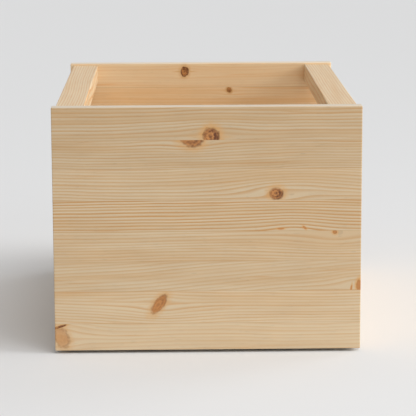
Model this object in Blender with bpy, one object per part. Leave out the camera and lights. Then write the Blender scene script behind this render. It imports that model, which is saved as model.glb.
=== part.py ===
"""Open-topped pine toy box on four hidden swivel castors.

The front and back panels are edge-glued pine boards. Between them, along each side, run a lower side panel and a
broad top rail, with a hand-hold gap between the two. A plywood floor board sits in a groove round the inside, and
the castors are screwed to its underside. Blind dowels join the rails and the side panels to the front and back.

Units are metres. +Z is up, the front faces -Y, and the origin is on the ground under the box's centre.
"""

import math

import bmesh
import bpy
from mathutils import Matrix, Vector
from mathutils.geometry import convex_hull_2d

# Driving dimensions of the box
WIDTH = 0.385
DEPTH = 0.500
HEIGHT = 0.313
GROUND_GAP = 0.004
BOARD_THICKNESS = 0.018
EDGE_RADIUS = 0.0025
EDGE_SEGMENTS = 3
JOINT_GAP = 0.0003
SMOOTH_ANGLE = math.radians(35)
ALIGNED = 0.99

# Sides: a broad rail on top, a gap for the hands, and a panel below
SIDE_INSET = 0.004
RAIL_WIDTH = 0.036
RAIL_HEIGHT = 0.024
RAIL_DROP = 0.0025
HAND_GAP = 0.045

# Floor board and the groove that holds it
FLOOR_THICKNESS = 0.012
GROOVE_DEPTH = 0.006

# Blind dowels
DOWEL_RADIUS = 0.004
DOWEL_LENGTH = 0.030
DOWEL_CHAMFER = 0.0008
DOWEL_DEPTH_IN_PANEL = 0.012
DOWEL_SIDES = 16
RAIL_DOWEL_SPACING = 0.018
SIDE_DOWEL_HEIGHTS = (0.090, 0.205)

# Castors
CASTOR_X = 0.130
CASTOR_Y = 0.190
CASTOR_HEIGHT = 0.041
CASTOR_TRAIL = 0.013
WHEEL_RADIUS = 0.015
WHEEL_WIDTH = 0.014
WHEEL_EDGE_RADIUS = 0.002
WHEEL_EDGE_STEPS = 2
WHEEL_DISH_DEPTH = 0.0025
WHEEL_RIM = 0.003
WHEEL_HUB_RADIUS = 0.0052
WHEEL_SIDES = 24
AXLE_RADIUS = 0.002
AXLE_CLEARANCE = 0.0002
AXLE_HEAD_RADIUS = 0.0034
AXLE_HEAD_HEIGHT = 0.001
PLATE_SIZE = 0.038
PLATE_THICKNESS = 0.0018
PLATE_CORNER_RADIUS = 0.004
PLATE_CORNER_STEPS = 4
RACE_RADIUS = 0.011
RACE_HEIGHT = 0.003
FORK_SHEET = 0.0015
FORK_SIDE_GAP = 0.0006
FORK_BEND_RADIUS = 0.0025
FORK_OUTER_BEND_STEPS = 4
FORK_INNER_BEND_STEPS = 2
FORK_CROWN_RADIUS = 0.013
FORK_CROWN_HALF_LENGTH = 0.009
FORK_EYE_RADIUS = 0.005
FORK_EYE_SIDES = 24
KINGPIN_RADIUS = 0.003
KINGPIN_HEAD_RADIUS = 0.005
KINGPIN_HEAD_HEIGHT = 0.0012
HEAD_CROWN_SHARE = 0.65
ROUND_SIDES = 20
PIN_SIDES = 16

# Castor screws
SCREW_OFFSET = 0.0145
SCREW_RADIUS = 0.0016
SCREW_LENGTH = 0.0115
SCREW_TIP_LENGTH = 0.0025
SCREW_HEAD_RADIUS = 0.0034
SCREW_HEAD_HEIGHT = 0.0022
SCREW_CROWN_SHARE = 0.65
SCREW_TIP_SHARE = 0.15
SCREW_SIDES = 12
RECESS_WIDTH = 0.0009
RECESS_LENGTH = 0.0036
RECESS_DEPTH = 0.0012

# Derived levels and faces
PANEL_HEIGHT = HEIGHT - GROUND_GAP
INNER_Y = DEPTH / 2 - BOARD_THICKNESS
SIDE_OUTER_X = WIDTH / 2 - SIDE_INSET
SIDE_INNER_X = SIDE_OUTER_X - BOARD_THICKNESS
RAIL_CENTRE_X = SIDE_OUTER_X - RAIL_WIDTH / 2
SIDE_CENTRE_X = SIDE_OUTER_X - BOARD_THICKNESS / 2
RAIL_CENTRE_Z = HEIGHT - RAIL_DROP - RAIL_HEIGHT / 2
SIDE_TOP = HEIGHT - RAIL_DROP - RAIL_HEIGHT - HAND_GAP
SIDE_LENGTH = 2 * (INNER_Y - JOINT_GAP)
FLOOR_BOTTOM = CASTOR_HEIGHT + JOINT_GAP
FLOOR_CENTRE_Z = FLOOR_BOTTOM + FLOOR_THICKNESS / 2
PLATE_BOTTOM = CASTOR_HEIGHT - PLATE_THICKNESS
RACE_BOTTOM = PLATE_BOTTOM - RACE_HEIGHT
CROWN_TOP = RACE_BOTTOM - JOINT_GAP
CROWN_BOTTOM = CROWN_TOP - FORK_SHEET
FORK_INNER_Y = WHEEL_WIDTH / 2 + FORK_SIDE_GAP
FORK_OUTER_Y = FORK_INNER_Y + FORK_SHEET


# --- Scene, materials and objects ------------------------------------------------------------------------------

def clear_scene():
    for obj in list(bpy.data.objects):
        bpy.data.objects.remove(obj, do_unlink=True)


def make_material(name, colour, roughness, metallic):
    material = bpy.data.materials.new(name)
    material.use_nodes = True
    shader = material.node_tree.nodes["Principled BSDF"]
    shader.inputs["Base Color"].default_value = (*colour, 1.0)
    shader.inputs["Roughness"].default_value = roughness
    shader.inputs["Metallic"].default_value = metallic
    material.diffuse_color = (*colour, 1.0)
    return material


def add_object(name, mesh, material, location=(0.0, 0.0, 0.0), parent=None):
    obj = bpy.data.objects.new(name, mesh)
    obj.location = location
    obj.parent = parent
    if not mesh.materials:
        mesh.materials.append(material)
    bpy.context.collection.objects.link(obj)
    return obj


def add_empty(name, location, parent=None):
    empty = bpy.data.objects.new(name, None)
    empty.location = location
    empty.empty_display_size = WHEEL_RADIUS
    empty.parent = parent
    bpy.context.collection.objects.link(empty)
    return empty


def add_boolean(obj, other, operation):
    modifier = obj.modifiers.new(operation.lower(), "BOOLEAN")
    modifier.operation = operation
    modifier.solver = "EXACT"
    modifier.object = other


def add_helper(name, mesh):
    """A solid that only shapes another one: it isn't a piece of the box."""
    helper = bpy.data.objects.new(name, mesh)
    helper.hide_render = True
    helper.display_type = "WIRE"
    bpy.context.collection.objects.link(helper)
    return helper


def evaluated_mesh(obj):
    """The object's mesh with its modifiers applied, for the copies of a repeated piece to share."""
    bpy.context.view_layer.update()
    depsgraph = bpy.context.evaluated_depsgraph_get()
    return bpy.data.meshes.new_from_object(obj.evaluated_get(depsgraph))


def discard(*objects):
    for obj in objects:
        bpy.data.objects.remove(obj, do_unlink=True)


# --- Meshes ----------------------------------------------------------------------------------------------------

def finish_mesh(bm, name, smooth_angle=None):
    bmesh.ops.recalc_face_normals(bm, faces=bm.faces)
    mesh = bpy.data.meshes.new(name)
    bm.to_mesh(mesh)
    bm.free()
    if smooth_angle is not None:
        mesh.shade_smooth()
        mesh.set_sharp_from_angle(angle=smooth_angle)
    return mesh


def add_box(bm, size, centre=(0.0, 0.0, 0.0)):
    matrix = Matrix.Translation(centre) @ Matrix.Diagonal((*size, 1.0))
    return bmesh.ops.create_cube(bm, size=1.0, matrix=matrix)["verts"]


def add_cylinder(bm, radius, start, end, sides):
    """A closed cylinder between two points."""
    start, end = Vector(start), Vector(end)
    turn = (end - start).to_track_quat("Z", "Y").to_matrix().to_4x4()
    matrix = Matrix.Translation((start + end) / 2) @ turn
    bmesh.ops.create_cone(
        bm,
        cap_ends=True,
        segments=sides,
        radius1=radius,
        radius2=radius,
        depth=(end - start).length,
        matrix=matrix,
    )


def rounded_board_mesh(name, size, square_ends_along=None):
    """A board with rounded edges. With square_ends_along, only the edges along that axis are rounded."""
    bm = bmesh.new()
    add_box(bm, size)
    edges = list(bm.edges)
    if square_ends_along is not None:
        edges = [e for e in edges if edge_runs_along(e, square_ends_along)]
    bmesh.ops.bevel(
        bm,
        geom=edges,
        offset=EDGE_RADIUS,
        segments=EDGE_SEGMENTS,
        profile=0.5,
        affect="EDGES",
    )
    return finish_mesh(bm, name, smooth_angle=SMOOTH_ANGLE)


def edge_runs_along(edge, axis):
    direction = (edge.verts[1].co - edge.verts[0].co).normalized()
    return abs(direction[axis]) > ALIGNED


def turned_mesh(name, profile, sides, closed_ring=False):
    """A body turned about Z from (radius, height) points. A closed ring has a bore; otherwise the ends are capped."""
    bm = bmesh.new()
    rings = []
    for radius, height in profile:
        ring = []
        for i in range(sides):
            angle = 2 * math.pi * i / sides
            ring.append(bm.verts.new((radius * math.cos(angle), radius * math.sin(angle), height)))
        rings.append(ring)
    pairs = list(zip(rings, rings[1:]))
    if closed_ring:
        pairs.append((rings[-1], rings[0]))
    else:
        bm.faces.new(rings[0])
        bm.faces.new(rings[-1])
    for lower, upper in pairs:
        for i in range(sides):
            j = (i + 1) % sides
            bm.faces.new((lower[i], lower[j], upper[j], upper[i]))
    return finish_mesh(bm, name, smooth_angle=SMOOTH_ANGLE)


def prism_mesh(name, outline, low, high, axis):
    """An outline of 2-D points extruded along X (axis 0) or Z (axis 2)."""
    bm = bmesh.new()

    def corner(u, v, height):
        return (height, u, v) if axis == 0 else (u, v, height)

    bottom = [bm.verts.new(corner(u, v, low)) for u, v in outline]
    top = [bm.verts.new(corner(u, v, high)) for u, v in outline]
    bm.faces.new(bottom)
    bm.faces.new(top)
    count = len(outline)
    for i in range(count):
        j = (i + 1) % count
        bm.faces.new((bottom[i], bottom[j], top[j], top[i]))
    return finish_mesh(bm, name, smooth_angle=SMOOTH_ANGLE)


def arc_points(centre, radius, start_degrees, end_degrees, steps):
    points = []
    for i in range(steps + 1):
        angle = math.radians(start_degrees + (end_degrees - start_degrees) * i / steps)
        points.append((centre[0] + radius * math.cos(angle), centre[1] + radius * math.sin(angle)))
    return points


# --- Box -------------------------------------------------------------------------------------------------------

def rail_dowel_xs():
    offset = RAIL_DOWEL_SPACING / 2
    return (RAIL_CENTRE_X - offset, RAIL_CENTRE_X + offset)


def dowel_places():
    """Name and centre of each blind dowel. The four corners repeat one set of places."""
    reach = DOWEL_LENGTH / 2 - DOWEL_DEPTH_IN_PANEL
    places = []
    for side, x_sign in (("left", -1), ("right", 1)):
        for end, y_sign in (("front", -1), ("back", 1)):
            y = y_sign * (INNER_Y - reach)
            for spot, x in zip(("inner", "outer"), rail_dowel_xs()):
                places.append((f"{side}_rail_dowel_{end}_{spot}", (x_sign * x, y, RAIL_CENTRE_Z)))
            for spot, z in zip(("lower", "upper"), SIDE_DOWEL_HEIGHTS):
                places.append((f"{side}_side_dowel_{end}_{spot}", (x_sign * SIDE_CENTRE_X, y, z)))
    return places


def make_dowel_holes():
    """One helper with every dowel hole, blind at both ends."""
    bm = bmesh.new()
    half = DOWEL_LENGTH / 2 + JOINT_GAP
    for _, (x, y, z) in dowel_places():
        add_cylinder(bm, DOWEL_RADIUS + JOINT_GAP, (x, y - half, z), (x, y + half, z), DOWEL_SIDES)
    return add_helper("dowel_holes", finish_mesh(bm, "dowel_holes"))


def make_floor_groove():
    """The slot that the floor board sits in, stopped short of the ends of the front and back panels."""
    bm = bmesh.new()
    size = (
        2 * (SIDE_INNER_X + GROOVE_DEPTH + JOINT_GAP),
        2 * (INNER_Y + GROOVE_DEPTH + JOINT_GAP),
        FLOOR_THICKNESS + 2 * JOINT_GAP,
    )
    add_box(bm, size, (0.0, 0.0, FLOOR_CENTRE_Z))
    return add_helper("floor_groove", finish_mesh(bm, "floor_groove"))


def make_panels(pine, groove, holes):
    end_size = (WIDTH, BOARD_THICKNESS, PANEL_HEIGHT)
    end_mesh = rounded_board_mesh("end_panel", end_size)
    end_z = GROUND_GAP + PANEL_HEIGHT / 2
    end_y = DEPTH / 2 - BOARD_THICKNESS / 2
    side_height = SIDE_TOP - GROUND_GAP
    side_mesh = rounded_board_mesh("side_panel", (BOARD_THICKNESS, SIDE_LENGTH, side_height), 1)
    side_z = GROUND_GAP + side_height / 2
    panels = [
        add_object("front_panel", end_mesh, pine, (0.0, -end_y, end_z)),
        add_object("back_panel", end_mesh, pine, (0.0, end_y, end_z)),
        add_object("left_side_panel", side_mesh, pine, (-SIDE_CENTRE_X, 0.0, side_z)),
        add_object("right_side_panel", side_mesh, pine, (SIDE_CENTRE_X, 0.0, side_z)),
    ]
    for panel in panels:
        add_boolean(panel, groove, "DIFFERENCE")
        add_boolean(panel, holes, "DIFFERENCE")


def make_rails(pine, holes):
    mesh = rounded_board_mesh("top_rail", (RAIL_WIDTH, SIDE_LENGTH, RAIL_HEIGHT), 1)
    for name, sign in (("left_top_rail", -1), ("right_top_rail", 1)):
        rail = add_object(name, mesh, pine, (sign * RAIL_CENTRE_X, 0.0, RAIL_CENTRE_Z))
        add_boolean(rail, holes, "DIFFERENCE")


def make_dowels(beech):
    half = DOWEL_LENGTH / 2
    neck = DOWEL_RADIUS - DOWEL_CHAMFER
    profile = [
        (neck, -half),
        (DOWEL_RADIUS, -half + DOWEL_CHAMFER),
        (DOWEL_RADIUS, half - DOWEL_CHAMFER),
        (neck, half),
    ]
    mesh = turned_mesh("dowel", profile, DOWEL_SIDES)
    for name, place in dowel_places():
        dowel = add_object(name, mesh, beech, place)
        dowel.rotation_euler = (math.pi / 2, 0.0, 0.0)


def make_floor_board(plywood):
    """The board, with a blind pilot hole under each castor screw."""
    bm = bmesh.new()
    size = (2 * (SIDE_INNER_X + GROOVE_DEPTH), 2 * (INNER_Y + GROOVE_DEPTH), FLOOR_THICKNESS)
    add_box(bm, size)
    board = add_object("floor_board", finish_mesh(bm, "floor_board"), plywood, (0.0, 0.0, FLOOR_CENTRE_Z))
    bm = bmesh.new()
    hole_top = PLATE_BOTTOM + SCREW_LENGTH + JOINT_GAP
    for _, (x, y) in castor_places():
        for _, dx, dy in screw_offsets():
            start = (x + dx, y + dy, PLATE_BOTTOM)
            end = (x + dx, y + dy, hole_top)
            add_cylinder(bm, SCREW_RADIUS + JOINT_GAP, start, end, SCREW_SIDES)
    add_boolean(board, add_helper("pilot_holes", finish_mesh(bm, "pilot_holes")), "DIFFERENCE")


# --- Castors ---------------------------------------------------------------------------------------------------

def castor_places():
    places = []
    for end, y_sign in (("front", -1), ("back", 1)):
        for side, x_sign in (("left", -1), ("right", 1)):
            places.append((f"{end}_{side}", (x_sign * CASTOR_X, y_sign * CASTOR_Y)))
    return places


def screw_offsets():
    offsets = []
    for y_sign in (-1, 1):
        for x_sign in (-1, 1):
            offsets.append((len(offsets) + 1, x_sign * SCREW_OFFSET, y_sign * SCREW_OFFSET))
    return offsets


def plate_mesh():
    """Square plate with rounded corners, a round race under it, four screw holes and a seat for the kingpin."""
    half = PLATE_SIZE / 2 - PLATE_CORNER_RADIUS
    outline = []
    for x_sign, y_sign, start in ((1, 1, 0), (-1, 1, 90), (-1, -1, 180), (1, -1, 270)):
        centre = (x_sign * half, y_sign * half)
        outline += arc_points(centre, PLATE_CORNER_RADIUS, start, start + 90, PLATE_CORNER_STEPS)
    plate = add_helper("plate_blank", prism_mesh("plate", outline, PLATE_BOTTOM, CASTOR_HEIGHT, 2))
    race_profile = [
        (RACE_RADIUS - PLATE_THICKNESS, RACE_BOTTOM),
        (RACE_RADIUS, PLATE_BOTTOM),
        (RACE_RADIUS, PLATE_BOTTOM + PLATE_THICKNESS / 2),
    ]
    race = add_helper("race_blank", turned_mesh("race", race_profile, ROUND_SIDES))
    bm = bmesh.new()
    past = PLATE_THICKNESS
    low, high = RACE_BOTTOM - past, CASTOR_HEIGHT + past
    for _, x, y in screw_offsets():
        add_cylinder(bm, SCREW_RADIUS + JOINT_GAP, (x, y, PLATE_BOTTOM - past), (x, y, high), SCREW_SIDES)
    add_cylinder(bm, KINGPIN_RADIUS + JOINT_GAP, (0, 0, low), (0, 0, high), ROUND_SIDES)
    holes = add_helper("plate_holes", finish_mesh(bm, "plate_holes"))
    bm = bmesh.new()
    seat = CASTOR_HEIGHT - KINGPIN_HEAD_HEIGHT - 2 * JOINT_GAP
    add_cylinder(bm, KINGPIN_HEAD_RADIUS + JOINT_GAP, (0, 0, seat), (0, 0, high), ROUND_SIDES)
    counterbore = add_helper("plate_counterbore", finish_mesh(bm, "plate_counterbore"))
    add_boolean(plate, race, "UNION")
    add_boolean(plate, holes, "DIFFERENCE")
    add_boolean(plate, counterbore, "DIFFERENCE")
    mesh = evaluated_mesh(plate)
    discard(plate, race, holes, counterbore)
    mesh.shade_smooth()
    mesh.set_sharp_from_angle(angle=SMOOTH_ANGLE)
    return mesh


def kingpin_mesh():
    top = CASTOR_HEIGHT - JOINT_GAP
    bottom = CROWN_BOTTOM - JOINT_GAP
    profile = [
        (KINGPIN_HEAD_RADIUS * HEAD_CROWN_SHARE, bottom - KINGPIN_HEAD_HEIGHT),
        (KINGPIN_HEAD_RADIUS, bottom - KINGPIN_HEAD_HEIGHT / 2),
        (KINGPIN_HEAD_RADIUS, bottom),
        (KINGPIN_RADIUS, bottom),
        (KINGPIN_RADIUS, top - KINGPIN_HEAD_HEIGHT),
        (KINGPIN_HEAD_RADIUS, top - KINGPIN_HEAD_HEIGHT),
        (KINGPIN_HEAD_RADIUS, top),
    ]
    return turned_mesh("kingpin", profile, PIN_SIDES)


def channel_outline():
    """Section of the folded fork sheet across the wheel: an upside-down U with round bends, as (y, z) points."""
    outer, inner = FORK_BEND_RADIUS, FORK_BEND_RADIUS - FORK_SHEET
    low = WHEEL_RADIUS - FORK_EYE_RADIUS - FORK_SHEET
    points = [(FORK_OUTER_Y, low)]
    points += arc_points((FORK_OUTER_Y - outer, CROWN_TOP - outer), outer, 0, 90, FORK_OUTER_BEND_STEPS)
    points += arc_points((outer - FORK_OUTER_Y, CROWN_TOP - outer), outer, 90, 180, FORK_OUTER_BEND_STEPS)
    points += [(-FORK_OUTER_Y, low), (-FORK_INNER_Y, low)]
    points += arc_points((inner - FORK_INNER_Y, CROWN_BOTTOM - inner), inner, 180, 90, FORK_INNER_BEND_STEPS)
    points += arc_points((FORK_INNER_Y - inner, CROWN_BOTTOM - inner), inner, 90, 0, FORK_INNER_BEND_STEPS)
    points.append((FORK_INNER_Y, low))
    return points


def fork_side_outline():
    """Side view of the fork, from its crown down to the eye round the axle, as (trail, z) points."""
    points = arc_points((CASTOR_TRAIL, WHEEL_RADIUS), FORK_EYE_RADIUS, 0, 360, FORK_EYE_SIDES)[:-1]
    crown = CROWN_TOP + FORK_SHEET
    for x in (-FORK_CROWN_HALF_LENGTH, FORK_CROWN_HALF_LENGTH + FORK_SHEET):
        points += [(x, crown), (x, CROWN_BOTTOM - FORK_BEND_RADIUS)]
    hull = convex_hull_2d([Vector(p) for p in points])
    return [points[i] for i in hull]


def fork_mesh():
    """Fork in its own frame: the swivel axis is Z, the wheel trails along +X and its axle lies along Y."""
    reach = CASTOR_TRAIL + 2 * FORK_EYE_RADIUS
    channel = prism_mesh("channel", channel_outline(), -reach, reach, 0)
    fork = add_helper("fork_blank", channel)
    side = prism_mesh("fork_side", fork_side_outline(), -2 * FORK_OUTER_Y, 2 * FORK_OUTER_Y, 2)
    side.transform(Matrix.Rotation(math.pi / 2, 4, "X"))
    side_view = add_helper("fork_side_blank", side)
    bm = bmesh.new()
    add_cylinder(bm, FORK_CROWN_RADIUS, (0, 0, CROWN_BOTTOM), (0, 0, CROWN_TOP), ROUND_SIDES)
    crown = add_helper("fork_crown_blank", finish_mesh(bm, "fork_crown"))
    bm = bmesh.new()
    wide = 2 * FORK_OUTER_Y
    axle_hole = AXLE_RADIUS + JOINT_GAP
    add_cylinder(
        bm, axle_hole, (CASTOR_TRAIL, -wide, WHEEL_RADIUS), (CASTOR_TRAIL, wide, WHEEL_RADIUS), ROUND_SIDES
    )
    add_cylinder(bm, KINGPIN_RADIUS + JOINT_GAP, (0, 0, CROWN_BOTTOM - wide), (0, 0, CASTOR_HEIGHT), ROUND_SIDES)
    holes = add_helper("fork_holes", finish_mesh(bm, "fork_holes"))
    add_boolean(fork, side_view, "INTERSECT")
    add_boolean(fork, crown, "UNION")
    add_boolean(fork, holes, "DIFFERENCE")
    mesh = evaluated_mesh(fork)
    discard(fork, side_view, crown, holes)
    mesh.shade_smooth()
    mesh.set_sharp_from_angle(angle=SMOOTH_ANGLE)
    return mesh


def axle_mesh():
    """Riveted axle along Z, with a head outside each leg of the fork."""
    shoulder = FORK_OUTER_Y + JOINT_GAP
    tip = shoulder + AXLE_HEAD_HEIGHT
    crown_radius = AXLE_HEAD_RADIUS * HEAD_CROWN_SHARE
    upper = [
        (AXLE_RADIUS, shoulder),
        (AXLE_HEAD_RADIUS, shoulder),
        (AXLE_HEAD_RADIUS, (shoulder + tip) / 2),
        (crown_radius, tip),
    ]
    lower = [(radius, -height) for radius, height in reversed(upper)]
    return turned_mesh("axle", lower + upper, PIN_SIDES)


def wheel_mesh():
    """Moulded wheel about Z: a rounded tread, a dish in each side and a hub with a bore."""
    half = WHEEL_WIDTH / 2
    bore = AXLE_RADIUS + AXLE_CLEARANCE
    edge = WHEEL_EDGE_RADIUS
    rim_inner = WHEEL_RADIUS - WHEEL_RIM
    floor = half - WHEEL_DISH_DEPTH
    upper = arc_points((WHEEL_RADIUS - edge, half - edge), edge, 0, 90, WHEEL_EDGE_STEPS)
    upper += [
        (rim_inner, half),
        (rim_inner - WHEEL_DISH_DEPTH / 2, floor),
        (WHEEL_HUB_RADIUS + WHEEL_DISH_DEPTH / 2, floor),
        (WHEEL_HUB_RADIUS, half),
        (bore, half),
    ]
    lower = [(radius, -height) for radius, height in reversed(upper)]
    return turned_mesh("wheel", upper + lower, WHEEL_SIDES, closed_ring=True)


def screw_mesh():
    """Pan-head screw pointing up, its head's seat at the origin, with a cross recess under the head."""
    head = SCREW_HEAD_RADIUS
    profile = [
        (head * SCREW_CROWN_SHARE, -SCREW_HEAD_HEIGHT),
        (head, -SCREW_HEAD_HEIGHT / 2),
        (head, 0.0),
        (SCREW_RADIUS, 0.0),
        (SCREW_RADIUS, SCREW_LENGTH - SCREW_TIP_LENGTH),
        (SCREW_RADIUS * SCREW_TIP_SHARE, SCREW_LENGTH),
    ]
    screw = add_helper("screw_blank", turned_mesh("screw", profile, SCREW_SIDES))
    recess_centre = (0.0, 0.0, -SCREW_HEAD_HEIGHT)
    bars = []
    for name, size in (
        ("recess_x", (RECESS_LENGTH, RECESS_WIDTH, 2 * RECESS_DEPTH)),
        ("recess_y", (RECESS_WIDTH, RECESS_LENGTH, 2 * RECESS_DEPTH)),
    ):
        bm = bmesh.new()
        add_box(bm, size, recess_centre)
        bar = add_helper(name, finish_mesh(bm, name))
        add_boolean(screw, bar, "DIFFERENCE")
        bars.append(bar)
    mesh = evaluated_mesh(screw)
    discard(screw, *bars)
    mesh.shade_smooth()
    mesh.set_sharp_from_angle(angle=SMOOTH_ANGLE)
    return mesh


def make_castors(steel, bright_steel, plastic):
    plate, kingpin, fork = plate_mesh(), kingpin_mesh(), fork_mesh()
    axle, wheel, screw = axle_mesh(), wheel_mesh(), screw_mesh()
    seat_z = PLATE_BOTTOM - JOINT_GAP
    for place, (x, y) in castor_places():
        base = (x, y, 0.0)
        add_object(f"castor_plate_{place}", plate, steel, base)
        add_object(f"castor_kingpin_{place}", kingpin, bright_steel, base)
        for number, dx, dy in screw_offsets():
            screw_place = (x + dx, y + dy, seat_z)
            add_object(f"castor_screw_{place}_{number}", screw, bright_steel, screw_place)
        swivel = add_empty(f"swivel_axis_{place}", base)
        swivel.rotation_euler = (0.0, 0.0, math.pi / 2)
        add_object(f"castor_fork_{place}", fork, steel, parent=swivel)
        spin_place = (CASTOR_TRAIL, 0.0, WHEEL_RADIUS)
        for name, mesh, material in (("axle", axle, bright_steel), ("wheel", wheel, plastic)):
            piece = add_object(f"castor_{name}_{place}", mesh, material, spin_place, swivel)
            piece.rotation_euler = (math.pi / 2, 0.0, 0.0)


def main():
    clear_scene()
    pine = make_material("pine", (0.76, 0.57, 0.36), 0.45, 0.0)
    beech = make_material("beech", (0.72, 0.50, 0.31), 0.60, 0.0)
    plywood = make_material("plywood", (0.74, 0.60, 0.42), 0.55, 0.0)
    steel = make_material("zinc_steel", (0.62, 0.62, 0.60), 0.35, 1.0)
    bright_steel = make_material("bright_steel", (0.74, 0.74, 0.73), 0.25, 1.0)
    plastic = make_material("wheel_plastic", (0.10, 0.10, 0.11), 0.50, 0.0)
    groove = make_floor_groove()
    holes = make_dowel_holes()
    make_panels(pine, groove, holes)
    make_rails(pine, holes)
    make_dowels(beech)
    make_floor_board(plywood)
    make_castors(steel, bright_steel, plastic)
    bpy.context.view_layer.update()


main()
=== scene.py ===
"""Looks of the wooden toy box: edge-glued pine boards, a plywood floor, dowels and hidden castors.

Lengths in the meshes are metres. Inside the wood materials they are millimetres, in grain coordinates: u runs
along the grain, v across it on the board's face, and w through the board's thickness.
"""

import math
import random

import bmesh
import bpy
from mathutils import Matrix, Vector


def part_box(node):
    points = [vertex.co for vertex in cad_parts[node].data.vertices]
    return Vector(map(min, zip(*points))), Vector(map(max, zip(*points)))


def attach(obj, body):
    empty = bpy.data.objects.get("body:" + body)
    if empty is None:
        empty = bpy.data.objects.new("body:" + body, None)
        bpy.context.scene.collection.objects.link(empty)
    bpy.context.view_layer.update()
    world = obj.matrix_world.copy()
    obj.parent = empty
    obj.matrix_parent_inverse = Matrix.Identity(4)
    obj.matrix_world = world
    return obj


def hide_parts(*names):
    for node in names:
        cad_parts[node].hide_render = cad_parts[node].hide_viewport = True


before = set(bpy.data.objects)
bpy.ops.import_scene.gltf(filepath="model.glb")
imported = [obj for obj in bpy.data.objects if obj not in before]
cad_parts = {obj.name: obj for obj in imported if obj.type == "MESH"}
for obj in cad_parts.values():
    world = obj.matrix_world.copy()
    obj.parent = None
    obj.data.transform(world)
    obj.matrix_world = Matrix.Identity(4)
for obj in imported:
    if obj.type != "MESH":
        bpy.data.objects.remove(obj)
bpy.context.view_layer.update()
MM = 0.001


# --- Node trees --------------------------------------------------------------------------------------

class Graph:
    """Short calls that add nodes to a tree and link them. Each value is a socket, a number or a colour."""

    def __init__(self, tree):
        self.tree = tree

    def node(self, kind, **settings):
        made = self.tree.nodes.new(kind)
        for name, value in settings.items():
            setattr(made, name, value)
        return made

    def put(self, socket, value):
        if isinstance(value, bpy.types.NodeSocket):
            self.tree.links.new(value, socket)
        else:
            socket.default_value = value

    def math(self, operation, *values, clamp=False):
        made = self.node("ShaderNodeMath", operation=operation, use_clamp=clamp)
        for socket, value in zip(made.inputs, values):
            self.put(socket, value)
        return made.outputs[0]

    def add(self, a, b):
        return self.math("ADD", a, b)

    def sub(self, a, b):
        return self.math("SUBTRACT", a, b)

    def mul(self, a, b):
        return self.math("MULTIPLY", a, b)

    def div(self, a, b):
        return self.math("DIVIDE", a, b)

    def mul_add(self, a, b, c):
        """a times b, plus c."""
        return self.math("MULTIPLY_ADD", a, b, c)

    def absolute(self, a):
        return self.math("ABSOLUTE", a)

    def length(self, a, b):
        return self.math("SQRT", self.mul_add(a, a, self.mul(b, b)))

    def smooth(self, value, low, high, to_low=0.0, to_high=1.0):
        """A smooth step from to_low to to_high as value goes from low to high."""
        made = self.node("ShaderNodeMapRange", interpolation_type="SMOOTHSTEP")
        for name, given in (
            ("Value", value), ("From Min", low), ("From Max", high), ("To Min", to_low), ("To Max", to_high)
        ):
            self.put(made.inputs[name], given)
        return made.outputs["Result"]

    def mix_colour(self, factor, a, b, blend="MIX"):
        made = self.node("ShaderNodeMix", data_type="RGBA", blend_type=blend)
        self.put(made.inputs[0], factor)
        self.put(made.inputs[6], a)
        self.put(made.inputs[7], b)
        return made.outputs[2]

    def shade(self, colour, light):
        """The colour made lighter or darker by a number."""
        return self.mix_colour(1.0, colour, self.combine(light, light, light), "MULTIPLY")

    def combine(self, x, y, z):
        made = self.node("ShaderNodeCombineXYZ")
        for socket, value in zip(made.inputs, (x, y, z)):
            self.put(socket, value)
        return made.outputs[0]

    def separate(self, vector):
        made = self.node("ShaderNodeSeparateXYZ")
        self.put(made.inputs[0], vector)
        return list(made.outputs)

    def noise(self, vector, scale=1.0, detail=2.0, roughness=0.5, centred=False):
        made = self.node("ShaderNodeTexNoise", noise_dimensions="3D")
        self.put(made.inputs["Vector"], vector)
        self.put(made.inputs["Scale"], scale)
        self.put(made.inputs["Detail"], detail)
        self.put(made.inputs["Roughness"], roughness)
        value = made.outputs[0]
        return self.sub(value, 0.5) if centred else value

    def random(self, value):
        made = self.node("ShaderNodeTexWhiteNoise", noise_dimensions="1D")
        self.put(made.inputs["W"], value)
        return made.outputs["Value"]

    def bump(self, shader, height, distance, strength=1.0):
        made = self.node("ShaderNodeBump")
        made.inputs["Strength"].default_value = strength
        made.inputs["Distance"].default_value = distance
        self.put(made.inputs["Height"], height)
        self.put(shader.inputs["Normal"], made.outputs["Normal"])


def new_group(name, inputs, outputs):
    """An empty node group. inputs and outputs are written "Name Kind", with Kind Float, Vector or Color."""
    tree = bpy.data.node_groups.new(name, "ShaderNodeTree")
    for way, sockets in (("INPUT", inputs), ("OUTPUT", outputs)):
        for socket in sockets:
            label, kind = socket.rsplit(" ", 1)
            tree.interface.new_socket(name=label, in_out=way, socket_type=f"NodeSocket{kind}")
    graph = Graph(tree)
    source = graph.node("NodeGroupInput").outputs
    sink = graph.node("NodeGroupOutput").inputs
    return graph, source, sink


def use_group(graph, tree, values):
    made = graph.node("ShaderNodeGroup", node_tree=tree)
    for name, value in values.items():
        graph.put(made.inputs[name], value)
    return made.outputs


def new_material(name):
    material = bpy.data.materials.new(name)
    material.use_nodes = True
    graph = Graph(material.node_tree)
    shader = material.node_tree.nodes["Principled BSDF"]
    return material, graph, shader


# --- Pine: knots -------------------------------------------------------------------------------------

KNOT_LIGHT = (0.560, 0.240, 0.070, 1.0)
KNOT_DARK = (0.150, 0.046, 0.012, 1.0)
KNOT_RIM = (0.140, 0.040, 0.010, 1.0)
KNOT_HALO = (0.690, 0.350, 0.100, 1.0)


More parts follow.
